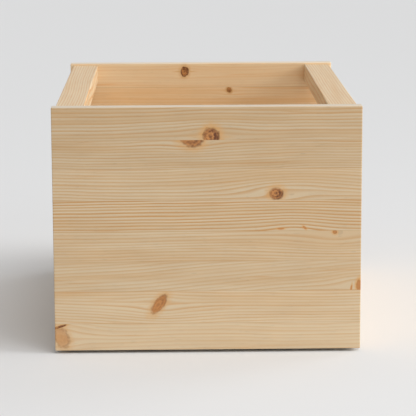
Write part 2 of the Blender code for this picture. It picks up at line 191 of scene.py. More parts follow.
class Knot:
    """A knot on one stave.

    home is the number of its stave. along and across give its centre, and half_length and half_width its
    size, all in millimetres. It is turned by lean radians. flow is how far, in millimetres, it parts the
    grain, and spread how much longer than wide the parting is. dark, rim, halo and streak are strengths from
    0 to 1: of the heartwood colour, of the bark round the knot, of the resin round it, and of the resin that
    runs from it along the grain. cover is how far the knot hides the wood. With none it only parts the
    grain, as a knot does that lies just under the surface.
    """

    def __init__(
        self, home, along, across, half_length, half_width, lean=0.0, flow=None, spread=2.4,
        dark=0.6, rim=0.5, halo=0.6, streak=0.2, cover=1.0,
    ):
        self.cover = cover
        self.flow_values = {
            "Home": float(home), "Along": along, "Across": across,
            "Flow": half_width if flow is None else flow, "Spread": spread,
        }
        self.paint_values = {
            "Home": float(home), "Along": along, "Across": across, "Half length": half_length,
            "Half width": half_width, "Lean": lean, "Dark": dark, "Rim": rim, "Halo": halo, "Streak": streak,
            "Cover": cover,
        }


def on_its_stave(g, source):
    """1 on the knot's own stave and 0 on the others, so that a seam cuts the knot off."""
    return g.math("LESS_THAN", g.absolute(g.sub(source["Stave"], source["Home"])), 0.5)


def make_knot_flow_group():
    """Parts the grain round a knot, as a stream parts round a stone."""
    inputs = ["Point Vector", "Stave Float", "Home Float", "Along Float", "Across Float"]
    inputs += ["Flow Float", "Spread Float"]
    g, source, sink = new_group("knot_flow", inputs, ["Point Vector"])
    u, v, w = g.separate(source["Point"])
    du, dv = g.sub(u, source["Along"]), g.sub(v, source["Across"])
    reach = g.length(g.div(du, g.mul(source["Flow"], source["Spread"])), g.div(dv, source["Flow"]))
    pull = g.div(on_its_stave(g, source), g.mul_add(reach, reach, 1.0))
    g.put(sink["Point"], g.combine(u, g.sub(v, g.mul(dv, pull)), w))
    return g.tree


def make_knot_paint_group():
    """Paints a knot over the wood: its heart, its bark and the resin round it."""
    inputs = ["Colour Color", "Point Vector", "Stave Float", "Home Float", "Along Float"]
    inputs += ["Across Float", "Half length Float", "Half width Float", "Lean Float", "Dark Float"]
    inputs += ["Rim Float", "Halo Float", "Streak Float", "Cover Float"]
    g, source, sink = new_group("knot_paint", inputs, ["Colour Color"])
    u, v = g.separate(source["Point"])[:2]
    own = g.mul(on_its_stave(g, source), source["Cover"])
    du, dv = g.sub(u, source["Along"]), g.sub(v, source["Across"])
    cos, sin = g.math("COSINE", source["Lean"]), g.math("SINE", source["Lean"])
    a = g.div(g.mul_add(du, cos, g.mul(dv, sin)), source["Half length"])
    b = g.div(g.sub(g.mul(dv, cos), g.mul(du, sin)), source["Half width"])
    place = g.combine(u, v, g.mul(source["Along"], 0.37))
    wobble = g.noise(place, scale=0.16, detail=3.0, centred=True)
    blotch = g.noise(place, scale=0.34, detail=2.0, centred=True)
    distance = g.mul_add(wobble, 0.55, g.length(a, b))
    heart = g.mul_add(blotch, 0.25, g.length(g.add(a, 0.12), g.add(b, -0.1)))
    rings = g.math("SINE", g.mul(heart, 13.0))
    side = g.smooth(g.add(g.mul(a, 0.8), g.mul_add(b, -0.35, blotch)), -0.7, 0.9)
    depth = g.mul_add(rings, 0.30, g.mul_add(blotch, 1.6, g.mul_add(side, 0.9, 0.10)))
    depth = g.math("MULTIPLY", depth, g.mul(source["Dark"], 1.4), clamp=True)
    core = g.mix_colour(depth, KNOT_LIGHT, KNOT_DARK)
    halo = g.mul(g.smooth(distance, 0.85, 2.1, 1.0, 0.0), g.mul(g.mul_add(blotch, 1.3, 0.95), source["Halo"]))
    along = g.smooth(g.absolute(g.div(du, source["Half length"])), 0.6, 3.4, 1.0, 0.0)
    beside = g.div(g.mul_add(wobble, 1.6, dv), source["Half width"])
    narrow = g.smooth(g.absolute(beside), 0.0, 0.34, 1.0, 0.0)
    streak = g.mul(g.mul(along, narrow), source["Streak"])
    resin = g.mul(g.math("MAXIMUM", halo, streak), own)
    covered = g.mul(g.smooth(distance, 0.76, 1.12, 1.0, 0.0), own)
    bark = g.mul(g.smooth(distance, 0.68, 0.92), g.smooth(distance, 0.97, 1.2, 1.0, 0.0))
    bark = g.mul(bark, g.mul(g.mul_add(blotch, 2.4, 0.9), source["Rim"]))
    bark = g.math("MULTIPLY", bark, own, clamp=True)
    colour = g.mix_colour(g.math("MULTIPLY", resin, 0.95, clamp=True), source["Colour"], KNOT_HALO)
    colour = g.mix_colour(covered, colour, core)
    g.put(sink["Colour"], g.mix_colour(bark, colour, KNOT_RIM))
    return g.tree


# --- Pine: growth rings and finish -------------------------------------------------------------------

EARLY_WOOD = (0.805, 0.630, 0.408, 1.0)
LATE_WOOD = (0.680, 0.360, 0.130, 1.0)
WARM_WOOD = (0.765, 0.475, 0.220, 1.0)
RESIN_WOOD = (0.730, 0.390, 0.140, 1.0)
SEAM_COLOUR = (0.480, 0.250, 0.090, 1.0)
# Pale, greyish wood for the top and bottom faces of the front and back panels: a painted sheen, standing in
# for the lacquer's reflection seen at a grazing angle.
PAINTED_SHEEN_WOOD = (0.780, 0.690, 0.560, 1.0)


def make_ring_group():
    """Growth rings round a pith line that runs along the grain beside the stave."""
    inputs = ["Point Vector", "Seed Float", "Start Float", "Pith across Float", "Pith depth Float"]
    inputs += ["Ring width Float", "Wave Float", "Slope Float"]
    g, source, sink = new_group("growth_rings", inputs, ["Late Float", "Tone Float"])
    u, v, w = g.separate(source["Point"])
    seed = source["Seed"]
    drift = g.noise(g.combine(g.mul(u, 0.0032), g.mul(v, 0.006), seed), detail=1.0, centred=True)
    sway = g.noise(g.combine(g.mul(u, 0.014), g.mul(v, 0.035), g.add(seed, 5.0)), detail=2.0, centred=True)
    moved = g.mul(source["Wave"], g.mul_add(drift, 20.0, g.mul(sway, 2.4)))
    moved = g.sub(moved, g.mul(u, source["Slope"]))
    across = g.sub(g.add(g.sub(v, source["Start"]), moved), source["Pith across"])
    radius = g.length(across, g.sub(w, source["Pith depth"]))
    uneven = g.noise(g.combine(g.mul(radius, 0.07), seed, 0.0), detail=2.0, centred=True)
    phase = g.mul_add(uneven, 1.2, g.div(radius, source["Ring width"]))
    number = g.math("FLOOR", phase)
    part = g.math("FRACT", phase)
    strength = g.random(g.mul_add(seed, 17.0, number))
    fade = g.noise(g.combine(g.mul(u, 0.012), g.mul(number, 3.7), seed), detail=1.0)
    rise = g.smooth(part, 0.30, 0.84)
    fall = g.smooth(part, 0.90, 1.0, 1.0, 0.0)
    late = g.mul(g.mul(rise, fall), g.mul(g.mul_add(strength, 0.45, 0.70), g.mul_add(fade, 1.0, 0.60)))
    g.put(sink["Late"], late)
    g.put(sink["Tone"], g.random(g.mul_add(seed, 31.0, number)))
    return g.tree


def make_pine_finish_group():
    """Colour, roughness and surface height of lacquered pine from its rings, knots and seams."""
    inputs = ["Point Vector", "Seed Float", "Late Float", "Tone Float", "Contrast Float", "Shade Float"]
    inputs += ["Warmth Float", "Seam Float", "End grain Float", "Edge Float", "Pale Float"]
    outputs = ["Colour Color", "Roughness Float", "Height Float"]
    g, source, sink = new_group("pine_finish", inputs, outputs)
    u, v, w = g.separate(source["Point"])
    seed = source["Seed"]

    def drawn_out(along, across, offset, **settings):
        """Noise that is stretched along the grain."""
        depth = g.mul_add(w, across, g.add(seed, offset) if offset else seed)
        return g.noise(g.combine(g.mul(u, along), g.mul(v, across), depth), **settings)

    fibres = drawn_out(0.035, 2.2, 0.0, detail=3.0, centred=True)
    streaks = drawn_out(0.008, 0.45, 0.0, centred=True)
    bands = drawn_out(0.004, 0.10, 0.0, centred=True)
    figure = g.noise(g.combine(g.mul(u, 0.02), g.mul(v, 0.05), g.add(seed, 9.0)), detail=2.0, centred=True)
    dashes = g.smooth(drawn_out(0.09, 1.6, 3.0, detail=0.0), 0.72, 0.82)
    late = g.mul(g.mul_add(streaks, 0.35, source["Late"]), source["Contrast"])
    late = g.math("ADD", late, g.mul(fibres, 0.16), clamp=True)
    colour = g.mix_colour(late, EARLY_WOOD, LATE_WOOD)
    warm = g.mul_add(bands, 1.9, g.mul(g.sub(source["Tone"], 0.5), 0.16))
    warm = g.math("ADD", source["Warmth"], warm, clamp=True)
    colour = g.mix_colour(g.mul(warm, 0.8), colour, WARM_WOOD)
    resin = g.smooth(drawn_out(0.009, 0.30, 11.0), 0.60, 0.78)
    colour = g.mix_colour(g.mul(resin, 0.60), colour, RESIN_WOOD)
    light = g.add(source["Shade"], g.add(g.mul(figure, 0.10), g.mul(fibres, 0.06)))
    light = g.sub(light, g.mul(bands, 0.10))
    # Edge makes the rounded edges lighter: a painted highlight where they catch the light.
    light = g.sub(light, g.mul_add(dashes, 0.10, g.mul(source["Edge"], -0.05)))
    colour = g.shade(colour, light)
    colour = g.mix_colour(g.mul(source["Seam"], 0.40), colour, SEAM_COLOUR)
    # Painted sheen: where Pale is set, the colour turns pale and grey, as a reflection of the white studio
    # would look.
    painted_sheen = g.shade(PAINTED_SHEEN_WOOD, g.mul_add(fibres, 0.50, g.mul_add(streaks, 0.30, 1.0)))
    colour = g.mix_colour(g.mul(source["Pale"], 0.80), colour, painted_sheen)
    pores = g.noise(g.combine(g.mul(u, 0.2), g.mul(v, 3.5), g.mul(w, 3.5)), detail=2.0, centred=True)
    end_colour = g.shade(colour, g.mul_add(pores, 0.35, 0.80))
    g.put(sink["Colour"], g.mix_colour(source["End grain"], colour, end_colour))
    roughness = g.add(0.42, g.mul_add(fibres, 0.16, g.mul(late, -0.06)))
    g.put(sink["Roughness"], g.mul_add(source["End grain"], 0.16, roughness))
    g.put(sink["Height"], g.mul_add(source["Seam"], -1.4, g.mul_add(dashes, -0.5, g.mul(fibres, 0.6))))
    return g.tree


KNOT_FLOW_GROUP = make_knot_flow_group()
KNOT_PAINT_GROUP = make_knot_paint_group()
RING_GROUP = make_ring_group()
FINISH_GROUP = make_pine_finish_group()
AXIS = {"X": 0, "Y": 1, "Z": 2}
PITH_RANGE = 250.0
RING_RANGE = 10.0
TONE_RANGE = 2.0
SLOPE_RANGE = 0.5


class Stave:
    """One glued strip of a board.

    start is its lower seam, in millimetres. pith_across and pith_depth place the log's centre, from the seam
    and from the middle of the board's thickness, and ring_width is the rings' pitch. wave bends the rings and
    slope tilts them, contrast darkens the late wood, shade lightens the whole stave and warmth turns it
    orange. The numbers are kept as fractions from 0 to 1, because the material holds them as colours.
    """

    def __init__(
        self, start, pith_across, pith_depth, ring_width, contrast=1.0, shade=1.0, warmth=0.1, wave=1.0,
        slope=0.0,
    ):
        self.start = start
        self.rings = (
            pith_across / PITH_RANGE / 2 + 0.5,
            pith_depth / PITH_RANGE / 2 + 0.5,
            ring_width / RING_RANGE,
            wave / TONE_RANGE,
        )
        self.tone = (
            contrast / TONE_RANGE,
            shade / TONE_RANGE,
            warmth / TONE_RANGE,
            slope / SLOPE_RANGE / 2 + 0.5,
        )


def stave_numbers(graph, index, staves, rows):
    """A stepped colour ramp that turns a stave's index into its four numbers."""
    ramp = graph.node("ShaderNodeValToRGB")
    ramp.color_ramp.interpolation = "CONSTANT"
    stops = ramp.color_ramp.elements
    stops.remove(stops[1])
    count = len(staves)
    for number, row in enumerate(rows):
        stop = stops[0] if number == 0 else stops.new(number / count)
        stop.position = number / count
        stop.color = row
    graph.put(ramp.inputs[0], graph.div(graph.add(index, 0.5), float(count)))
    return [*graph.separate(ramp.outputs[0]), ramp.outputs[1]]


def find_stave(g, across, staves):
    """The stave's number at a place across the board, where the stave starts, and 1 on a seam or 0 off it."""
    stave, start, seam = 0.0, staves[0].start, 0.0
    for below, here in zip(staves, staves[1:]):
        past = g.math("GREATER_THAN", across, here.start)
        stave = g.add(stave, past)
        start = g.mul_add(past, here.start - below.start, start)
        from_seam = g.absolute(g.sub(across, here.start))
        seam = g.math("MAXIMUM", seam, g.smooth(from_seam, 0.10, 0.50, 1.0, 0.0))
    return stave, start, seam


def pine_material(node, axes, staves, knots, seed, pale_edges=False):
    """Edge-glued or solid pine for a CAD board. axes names its axes along, across and through the board."""
    material, g, shader = new_material(f"pine_{node}")
    coordinates = g.node("ShaderNodeTexCoord").outputs
    place = g.separate(coordinates["Object"])
    u, v, w = [g.div(place[AXIS[axis]], MM) for axis in axes]
    low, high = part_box(node)
    w = g.sub(w, (low + high)[AXIS[axes[2]]] / 2 / MM)
    stave, start, seam = find_stave(g, v, staves)
    rings_here = stave_numbers(g, stave, staves, [s.rings for s in staves])
    tone_here = stave_numbers(g, stave, staves, [s.tone for s in staves])
    pith_across, pith_depth = [g.mul(g.sub(n, 0.5), 2 * PITH_RANGE) for n in rings_here[:2]]
    contrast, shade, warmth = [g.mul(n, TONE_RANGE) for n in tone_here[:3]]
    slope = g.mul(g.sub(tone_here[3], 0.5), 2 * SLOPE_RANGE)
    stave_seed = g.mul_add(stave, 7.31, seed)
    face_point = g.combine(u, v, w)
    point = face_point
    for knot in knots:
        values = {"Point": point, "Stave": stave, **knot.flow_values}
        point = use_group(g, KNOT_FLOW_GROUP, values)["Point"]
    rings = use_group(g, RING_GROUP, {
        "Point": point,
        "Seed": stave_seed,
        "Start": start,
        "Pith across": pith_across,
        "Pith depth": pith_depth,
        "Ring width": g.mul(rings_here[2], RING_RANGE),
        "Wave": g.mul(rings_here[3], TONE_RANGE),
        "Slope": slope,
    })
    normal = [g.absolute(n) for n in g.separate(coordinates["Normal"])]
    squarest = g.math("MAXIMUM", normal[0], g.math("MAXIMUM", normal[1], normal[2]))
    finish = use_group(g, FINISH_GROUP, {
        "Point": point,
        "Seed": stave_seed,
        "Late": rings["Late"],
        "Tone": rings["Tone"],
        "Contrast": contrast,
        "Shade": shade,
        "Warmth": warmth,
        "Seam": seam,
        "End grain": g.smooth(normal[AXIS[axes[0]]], 0.55, 0.85),
        # Edge marks the rounded edges, which the finish paints lighter as a painted highlight.
        "Edge": g.smooth(squarest, 0.80, 0.99, 1.0, 0.0),
        # Pale marks the top and bottom faces, which get the painted sheen.
        "Pale": g.smooth(normal[AXIS[axes[1]]], 0.5, 0.9) if pale_edges else 0.0,
    })
    colour = finish["Colour"]
    for knot in knots:
        if knot.cover:
            values = {"Colour": colour, "Point": face_point, "Stave": stave, **knot.paint_values}
            colour = use_group(g, KNOT_PAINT_GROUP, values)["Colour"]
    g.put(shader.inputs["Base Color"], colour)
    g.put(shader.inputs["Roughness"], finish["Roughness"])
    g.bump(shader, finish["Height"], 0.06 * MM, 0.35)
    return material


STAVE_WIDTH = 39.5
# The back's staves are set lighter and warmer than the sides' to match its top staves, which carry painted
# warm bounce light.
BACK_SHADES, BACK_WARMTHS = (0.98, 1.06), (0.25, 0.50)
SIDE_SHADES, SIDE_WARMTHS = (0.87, 0.95), (0.05, 0.25)


def random_staves(seed, low, high, shades, warmths):
    """Staves sawn at random from different logs, filling a board from low to high across the grain."""
    draw = random.Random(seed)
    staves = []
    start = low
    while start < high - STAVE_WIDTH / 2:
        staves.append(Stave(
            start,
            pith_across=draw.choice((-1.0, 1.0)) * draw.uniform(70.0, 200.0),
            pith_depth=draw.choice((-1.0, 1.0)) * draw.uniform(15.0, 90.0),
            ring_width=draw.uniform(3.2, 4.2),
            contrast=draw.uniform(0.5, 1.0),
            shade=draw.uniform(*shades),
            warmth=draw.uniform(*warmths),
            wave=draw.uniform(0.6, 1.2),
        ))
        start += STAVE_WIDTH * draw.uniform(0.96, 1.04)
    return staves


# --- Boards ------------------------------------------------------------------------------------------

FIT_GAP = 0.3 * MM
HOLE_SIDES = 24
BOARD_RADIUS = 1.2 * MM
BOARD_SEGMENTS = 5


def add_box(bm, low, high):
    size = high - low
    matrix = Matrix.Translation((low + high) / 2) @ Matrix.Diagonal((*size, 1.0))
    bmesh.ops.create_cube(bm, size=1.0, matrix=matrix)


def add_rod(bm, centre, radius, length, sides):
    """A closed cylinder along Y about a centre."""
    bmesh.ops.create_cone(
        bm, cap_ends=True, segments=sides, radius1=radius, radius2=radius, depth=length,
        matrix=Matrix.Translation(centre) @ Matrix.Rotation(math.pi / 2, 4, "X"),
    )


def mesh_from(bm, name):
    mesh = bpy.data.meshes.new(name)
    bm.to_mesh(mesh)
    bm.free()
    return mesh


def object_from(bm, name):
    made = bpy.data.objects.new(name, mesh_from(bm, name))
    bpy.context.scene.collection.objects.link(made)
    return made


def cut(blank, cutters):
    """The blank's mesh with the cutters taken out of it. The blank and the cutters are removed."""
    for cutter in cutters:
        modifier = blank.modifiers.new("cut", "BOOLEAN")
        modifier.operation = "DIFFERENCE"
        modifier.solver = "EXACT"
        modifier.object = cutter
    bpy.context.view_layer.update()
    mesh = bpy.data.meshes.new_from_object(blank.evaluated_get(bpy.context.evaluated_depsgraph_get()))
    for old in (blank, *cutters):
        bpy.data.objects.remove(old, do_unlink=True)
    return mesh


def shade_board(mesh):
    """Flat faces stay flat and rounded edges turn smoothly."""
    for face in mesh.polygons:
        face.use_smooth = max(abs(n) for n in face.normal) < 0.9999


def is_near(box, other):
    return all(box[0][k] < other[1][k] and other[0][k] < box[1][k] for k in range(3))


def dowel_nodes():
    return [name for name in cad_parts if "dowel" in name]


def board_mesh(node, round_ends):
    """The board with rounded edges, the floor's groove and its dowel holes.

    A board whose ends butt against the front and back panels has no rounding there: round_ends is False.
    """
    low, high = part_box(node)
    bm = bmesh.new()
    add_box(bm, low, high)
    edges = list(bm.edges)
    if not round_ends:
        edges = [e for e in edges if abs((e.verts[1].co - e.verts[0].co).normalized().y) > 0.99]
    bmesh.ops.bevel(
        bm, geom=edges, offset=BOARD_RADIUS, segments=BOARD_SEGMENTS, profile=0.5, affect="EDGES"
    )
    blank = object_from(bm, f"{node}_blank")
    cutters = []
    gap = Vector((FIT_GAP, FIT_GAP, FIT_GAP))
    floor_low, floor_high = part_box("floor_board")
    if is_near((low, high), (floor_low, floor_high)):
        bm = bmesh.new()
        add_box(bm, floor_low - gap, floor_high + gap)
        cutters.append(object_from(bm, "groove_cutter"))
    bm = bmesh.new()
    for name in dowel_nodes():
        dowel_low, dowel_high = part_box(name)
        if is_near((low, high), (dowel_low, dowel_high)):
            size = dowel_high - dowel_low
            centre = (dowel_low + dowel_high) / 2
            add_rod(bm, centre, size.x / 2 + FIT_GAP, size.y + 2 * FIT_GAP, HOLE_SIDES)
    cutters.append(object_from(bm, "dowel_hole_cutter"))
    mesh = cut(blank, cutters)
    mesh.name = f"{node}_visual"
    shade_board(mesh)
    return mesh


def add_piece(name, mesh, material, body, node):
    piece = bpy.data.objects.new(name, mesh)
    bpy.context.scene.collection.objects.link(piece)
    mesh.materials.clear()
    mesh.materials.append(material)
    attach(piece, body)
    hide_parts(node)


# Staves are listed from the bottom of a board up, and knots from its top down. Both are in millimetres, from
# the board's middle along the grain and from the ground across it.

# The front's shades fall toward its top. This is partly the staves' own tone and partly painted shade: the
# upper staves are darker and the lower ones lighter, as if lit by light thrown up from the floor.
FRONT_STAVES = [
    Stave(4.0, -170.0, 40.0, 4.3, 0.34, 0.910, 0.05, 1.0),
    Stave(38.7, 190.0, 50.0, 3.4, 0.47, 0.895, 0.05, 0.9),
    Stave(80.0, -190.0, 60.0, 4.3, 0.38, 0.830, 0.26, 0.9, 0.07),
    Stave(117.9, 200.0, 30.0, 3.7, 0.60, 0.840, 0.17, 0.6),
    Stave(156.2, 210.0, 40.0, 3.8, 1.00, 0.830, 0.14, 0.8),
    Stave(195.5, -190.0, 50.0, 3.6, 0.58, 0.825, 0.08, 1.0),
    Stave(235.2, 200.0, -50.0, 3.5, 0.64, 0.770, 0.28, 1.2),
    Stave(271.5, 190.0, 60.0, 3.9, 0.64, 0.765, 0.24, 0.9),
]
FRONT_KNOTS = [
    Knot(7, 5.3, 275.5, 10.3, 11.2, flow=11.0, dark=0.80, rim=0.5, halo=0.8, streak=0.6, spread=3.2),
    Knot(6, -19.0, 272.5, 13.5, 9.8, lean=-0.12, flow=12.0, spread=3.2, dark=0.42, rim=0.3, halo=0.6),
    Knot(5, 86.2, 203.5, 8.8, 7.6, flow=13.0, dark=0.62, rim=0.35, halo=0.65, streak=0.15, spread=3.8),
    Knot(4, 107.0, 150.0, 6.0, 6.0, flow=14.0, spread=2.4, cover=0.0),
    Knot(4, 91.5, 159.0, 4.5, 1.2, flow=0.5, dark=0.0, rim=0.0, halo=0.6, streak=0.6),
    Knot(4, 121.5, 160.0, 3.0, 1.4, lean=-0.7, flow=0.5, dark=0.0, rim=0.0, halo=0.6, streak=0.2),
    Knot(3, 159.5, 154.2, 2.8, 2.4, flow=16.0, spread=2.8, dark=0.35, rim=0.2, halo=0.9, streak=0.7),
    Knot(2, 190.5, 85.0, 3.4, 7.5, flow=12.0, dark=0.10, rim=0.2, halo=1.0, streak=0.1, spread=2.6),
    Knot(2, 180.5, 82.0, 1.0, 5.0, lean=-0.15, flow=0.5, dark=0.0, rim=0.0, halo=0.8, streak=0.3),
    Knot(
        1, -61.0, 63.5, 14.5, 6.3, lean=0.92,
        flow=10.0, spread=3.0, dark=0.22, rim=0.22, halo=0.55, streak=0.3,
    ),
    Knot(
        0, -184.0, 21.0, 9.0, 13.5, lean=0.35,
        flow=16.0, spread=1.6, dark=0.14, rim=0.45, halo=0.9, cover=0.5,
    ),
    Knot(0, -187.0, 34.8, 9.0, 1.5, lean=0.30, flow=0.5, dark=1.0, rim=0.5, halo=0.8, streak=0.5),
]
BACK_STAVES = random_staves(21, 0.0, 230.0, BACK_SHADES, BACK_WARMTHS)
# The back's two top staves are lighter and warmer than the rest. This is partly their own tone and partly
# painted light: warm light bounced between the wooden walls onto the back's inner face.
BACK_STAVES += [
    Stave(238.5, 150.0, 60.0, 4.0, 0.36, 1.12, 0.70, 0.7),
    Stave(277.6, 190.0, 80.0, 4.0, 0.22, 1.10, 0.42, 0.5),
]
BACK_TOP = len(BACK_STAVES) - 1
BACK_KNOTS = [
    Knot(
        BACK_TOP, -24.3, 300.8, 6.9, 5.6, lean=1.35,
        flow=5.0, spread=3.0, dark=0.62, rim=0.9, halo=0.7, streak=0.75,
    ),
    Knot(
        BACK_TOP - 1, 41.4, 273.0, 3.8, 3.4, lean=-0.9,
        flow=5.0, dark=0.55, rim=0.3, halo=0.9, streak=0.5,
    ),
]


def replace_board(node, axes, staves, knots, seed, round_ends=True):
    material = pine_material(node, axes, staves, knots, seed, pale_edges=round_ends)
    add_piece(f"{node}_board", board_mesh(node, round_ends), material, "box", node)


def make_boards():
    replace_board("front_panel", "XZY", FRONT_STAVES, FRONT_KNOTS, 1.0)
    replace_board("back_panel", "XZY", BACK_STAVES, BACK_KNOTS, 50.0)
    for side, sign, seed in (("left", -1.0, 5), ("right", 1.0, 8)):
        low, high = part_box(f"{side}_side_panel")
        staves = random_staves(seed, low.z / MM, high.z / MM, SIDE_SHADES, SIDE_WARMTHS)
        replace_board(f"{side}_side_panel", "YZX", staves, [], 100.0 + seed, False)
        low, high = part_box(f"{side}_top_rail")
        stave = Stave(low.x / MM, sign * 150.0, -60.0, 3.2, 0.65, 1.0, 0.05, 0.5)
        replace_board(f"{side}_top_rail", "YXZ", [stave], [], 200.0 + 10 * seed, False)


# --- Dowels and floor board --------------------------------------------------------------------------

DOWEL_FLUTES = 16
FLUTE_POINTS = 4
FLUTE_DEPTH = 0.35 * MM
DOWEL_CHAMFER = 0.8 * MM
BEECH_PALE = (0.560, 0.340, 0.190, 1.0)
BEECH_TAN = (0.480, 0.270, 0.140, 1.0)
BEECH_FLECK = (0.300, 0.140, 0.060, 1.0)


def ring_of(bm, points):
    return [bm.verts.new(p) for p in points]


def join_rings(bm, rings, closed=False):
    """Faces between rings of points. Unless the rings close on each other, the two ends are capped."""
    pairs = list(zip(rings, rings[1:]))
    if closed:
        pairs.append((rings[-1], rings[0]))
    for first, second in pairs:
        count = len(first)
        for k in range(count):
            m = (k + 1) % count
            bm.faces.new((first[k], first[m], second[m], second[k]))
    if not closed:
        bm.faces.new(list(reversed(rings[0])))
        bm.faces.new(rings[-1])
    bmesh.ops.recalc_face_normals(bm, faces=bm.faces)


def dowel_mesh(node):
    """A dowel along Y with flutes for the glue and chamfered ends."""
    low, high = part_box(node)
    centre = (low + high) / 2
    radius = (high.x - low.x) / 2
    bm = bmesh.new()
    rings = []
    end_share = 1 - DOWEL_CHAMFER / radius
    for y, share in (
        (low.y, end_share),
        (low.y + DOWEL_CHAMFER, 1.0),
        (high.y - DOWEL_CHAMFER, 1.0),
        (high.y, end_share),
    ):
        points = []
        for k in range(FLUTE_POINTS * DOWEL_FLUTES):
            turn = math.tau * k / (FLUTE_POINTS * DOWEL_FLUTES)
            in_flute = k % FLUTE_POINTS == FLUTE_POINTS // 2
            here = (radius - (FLUTE_DEPTH if in_flute else 0.0)) * share
            points.append((centre.x + here * math.cos(turn), y, centre.z + here * math.sin(turn)))
        rings.append(ring_of(bm, points))
    join_rings(bm, rings)
    return mesh_from(bm, f"{node}_visual")


def beech_material():
    """Bare beech: pinkish, with fine short flecks along the dowel."""
    material, g, shader = new_material("beech_dowel")
    x, y, z = [g.div(n, MM) for n in g.separate(g.node("ShaderNodeTexCoord").outputs["Object"])]
    fleck = g.smooth(g.noise(g.combine(g.mul(x, 2.4), g.mul(y, 0.5), g.mul(z, 2.4)), detail=1.0), 0.56, 0.70)
    tone = g.noise(g.combine(g.mul(x, 0.7), g.mul(y, 0.05), g.mul(z, 0.7)), detail=2.0)
    colour = g.mix_colour(tone, BEECH_PALE, BEECH_TAN)
    g.put(shader.inputs["Base Color"], g.mix_colour(g.mul(fleck, 0.6), colour, BEECH_FLECK))
    g.put(shader.inputs["Roughness"], g.mul_add(tone, 0.2, 0.5))
    g.bump(shader, fleck, -0.05 * MM, 0.4)
    return material


def make_dowels():
    material = beech_material()
    for node in dowel_nodes():
        add_piece(f"{node}_fluted", dowel_mesh(node), material, "box", node)


PLY_COUNT = 9
VENEER_PALE = (0.820, 0.690, 0.500, 1.0)
VENEER_TAN = (0.740, 0.570, 0.380, 1.0)
VENEER_DARK = (0.640, 0.440, 0.260, 1.0)
PLY_ALONG = (0.740, 0.570, 0.370, 1.0)
PLY_ACROSS = (0.560, 0.380, 0.220, 1.0)
PLY_GLUE = (0.200, 0.100, 0.050, 1.0)


def plywood_material():
    """Birch plywood: rotary-cut veneer on its faces, and the plies by turns along and across on its edges."""
    low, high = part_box("floor_board")
    material, g, shader = new_material("birch_plywood")
    coordinates = g.node("ShaderNodeTexCoord").outputs
    x, y, z = [g.div(n, MM) for n in g.separate(coordinates["Object"])]
    swirl = g.noise(g.combine(g.mul(x, 0.02), g.mul(y, 0.004), 4.0), detail=2.0, centred=True)
    figure = g.noise(g.combine(g.mul_add(swirl, 3.0, g.mul(x, 0.06)), g.mul(y, 0.006), 7.0), detail=3.0)
    figure = g.smooth(figure, 0.40, 0.62, 0.15, 0.70)
    fibres = g.noise(g.combine(g.mul(x, 1.6), g.mul(y, 0.03), g.mul(z, 1.6)), detail=3.0, centred=True)
    grain = g.noise(g.combine(g.mul_add(swirl, 9.0, g.mul(x, 0.42)), g.mul(y, 0.009), 2.0), detail=3.0)
    grain = g.smooth(grain, 0.52, 0.66)
    pores = g.smooth(g.noise(g.combine(g.mul(x, 1.5), g.mul(y, 0.12), 1.0), detail=0.0), 0.68, 0.76)
    face = g.mix_colour(figure, VENEER_PALE, VENEER_TAN)
    face = g.mix_colour(g.mul(grain, 0.35), face, VENEER_DARK)
    face = g.shade(face, g.mul_add(fibres, 0.20, g.sub(1.0, g.mul(pores, 0.22))))
    layer = g.mul(g.sub(z, low.z / MM), PLY_COUNT / ((high.z - low.z) / MM))
    part = g.math("FRACT", layer)
    across = g.math("MODULO", g.math("FLOOR", layer), 2.0)
    glue = g.add(g.smooth(part, 0.0, 0.10, 1.0, 0.0), g.smooth(part, 0.90, 1.0))
    speck = g.noise(g.combine(g.mul(x, 1.1), g.mul(y, 1.1), g.mul(z, 5.0)), detail=2.0)
    ply = g.mix_colour(across, PLY_ALONG, PLY_ACROSS)
    ply = g.shade(ply, g.mul_add(speck, 0.35, 0.80))
    ply = g.mix_colour(g.mul(glue, 0.6), ply, PLY_GLUE)
    on_edge = g.smooth(g.absolute(g.separate(coordinates["Normal"])[2]), 0.4, 0.8, 1.0, 0.0)
    g.put(shader.inputs["Base Color"], g.mix_colour(on_edge, face, ply))
    g.put(shader.inputs["Roughness"], g.add(0.52, g.mul_add(fibres, 0.2, g.mul(on_edge, 0.2))))
    g.bump(shader, g.sub(fibres, g.mul(pores, 1.5)), 0.05 * MM, 0.35)
    return material


# --- Castors -----------------------------------------------------------------------------------------

ZINC_COLOUR = (0.620, 0.620, 0.600, 1.0)
BRIGHT_COLOUR = (0.740, 0.740, 0.730, 1.0)
PLASTIC_BLACK = (0.016, 0.016, 0.018, 1.0)
PLASTIC_GREY = (0.034, 0.034, 0.037, 1.0)
DUST = (0.130, 0.120, 0.105, 1.0)


def steel_material(name, colour, roughness, crystal):
    """Zinc-plated steel: faint crystals in the plating, fine wear and dull patches.

    crystal is the size of the crystals in millimetres.
    """
    material, g, shader = new_material(name)
    place = g.node("ShaderNodeTexCoord").outputs["Object"]
    cells = g.node("ShaderNodeTexVoronoi", feature="F1")
    g.put(cells.inputs["Vector"], place)
    g.put(cells.inputs["Scale"], 1.0 / (crystal * MM))
    tone = g.separate(cells.outputs["Color"])[0]
    dull = g.smooth(g.noise(place, scale=160.0, detail=3.0), 0.42, 0.66)
    x, y, z = g.separate(place)
    scratch_point = g.combine(g.mul(x, 2600.0), g.mul(y, 160.0), g.mul(z, 900.0))
    scratches = g.smooth(g.noise(scratch_point, detail=1.0), 0.62, 0.76)
    light = g.add(0.86, g.mul_add(tone, 0.18, g.mul(dull, -0.16)))
    g.put(shader.inputs["Base Color"], g.shade(colour, light))
    shader.inputs["Metallic"].default_value = 1.0
    rough = g.add(roughness, g.mul_add(tone, 0.10, g.mul_add(dull, 0.20, g.mul(scratches, 0.10))))
    g.put(shader.inputs["Roughness"], rough)
    g.bump(shader, g.mul_add(scratches, -0.6, g.mul(tone, 0.3)), 0.03 * MM, 0.3)
    return material


